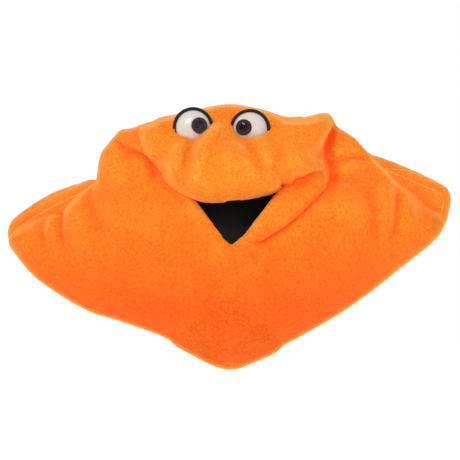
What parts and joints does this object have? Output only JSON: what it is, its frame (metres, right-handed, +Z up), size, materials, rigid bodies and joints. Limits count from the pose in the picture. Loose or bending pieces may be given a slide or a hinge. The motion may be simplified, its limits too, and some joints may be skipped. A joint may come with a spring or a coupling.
{
  "type": "moving mouth puppet",
  "caption": "Square plush pillow hand puppet stood on a corner, with a hinged mouth across its middle, domed eyes and an arm opening behind.",
  "frame": {"origin": "under the middle of the puppet, level with the tip of its hanging bottom corner", "axes": "+Z up along the puppeteer's forearm, the face looks along -Y, +X runs to the viewer's right from wing to wing"},
  "size_m": [0.4859, 0.24, 0.29],
  "materials": {
    "plush": "short orange pile",
    "mouth_felt": "black, matt",
    "lining": "plain woven cotton",
    "filling": "loose polyester fibre",
    "palate_board": "flexible grey sheet",
    "webbing": "orange woven tape",
    "eye_white": "satin moulded dome",
    "eye_lid": "black felt and cord",
    "iris": "dark brown gloss",
    "pupil": "black gloss",
    "lens": "clear, polished",
    "washer": "natural nylon"
  },
  "bodies": {
    "pillow": {"lower_front_panel": "plush", "back_panel": "plush", "crown_panel": "plush", "left_wing_filling": "filling", "right_wing_filling": "filling", "belly_filling": "filling", "crown_filling": "filling", "cuff_hem": "webbing", "arm_sleeve": "lining", "palm_lining": "lining", "mouth_hinge_tape": "webbing"},
    "upper_jaw": {"head_panel": "plush", "snout_filling": "filling", "upper_mouth_lining": "mouth_felt", "upper_palate_board": "palate_board", "finger_pocket": "lining", "left_eye_white": "eye_white", "left_eye_lid_cord": "eye_lid", "left_eye_seat": "eye_lid", "left_eye_iris": "iris", "left_eye_pupil": "pupil", "left_eye_lens": "lens", "left_eye_lock_washer": "washer", "right_eye_white": "eye_white", "right_eye_lid_cord": "eye_lid", "right_eye_seat": "eye_lid", "right_eye_iris": "iris", "right_eye_pupil": "pupil", "right_eye_lens": "lens", "right_eye_lock_washer": "washer"},
    "lower_jaw": {"lower_mouth_lining": "mouth_felt", "lower_palate_board": "palate_board", "thumb_pocket": "lining", "chin_filling": "filling", "lower_lip_panel": "plush"}
  },
  "joints": [
    {"name": "upper_jaw_lift", "type": "hinge", "parent": "pillow", "child": "upper_jaw", "pos_m": [0, -0.025, 0.208], "axis": [-1, 0, 0], "range_deg": [-8, 20]},
    {"name": "lower_jaw_drop", "type": "hinge", "parent": "pillow", "child": "lower_jaw", "pos_m": [0, -0.025, 0.208], "axis": [1, 0, 0], "range_deg": [-20, 18]}
  ]
}
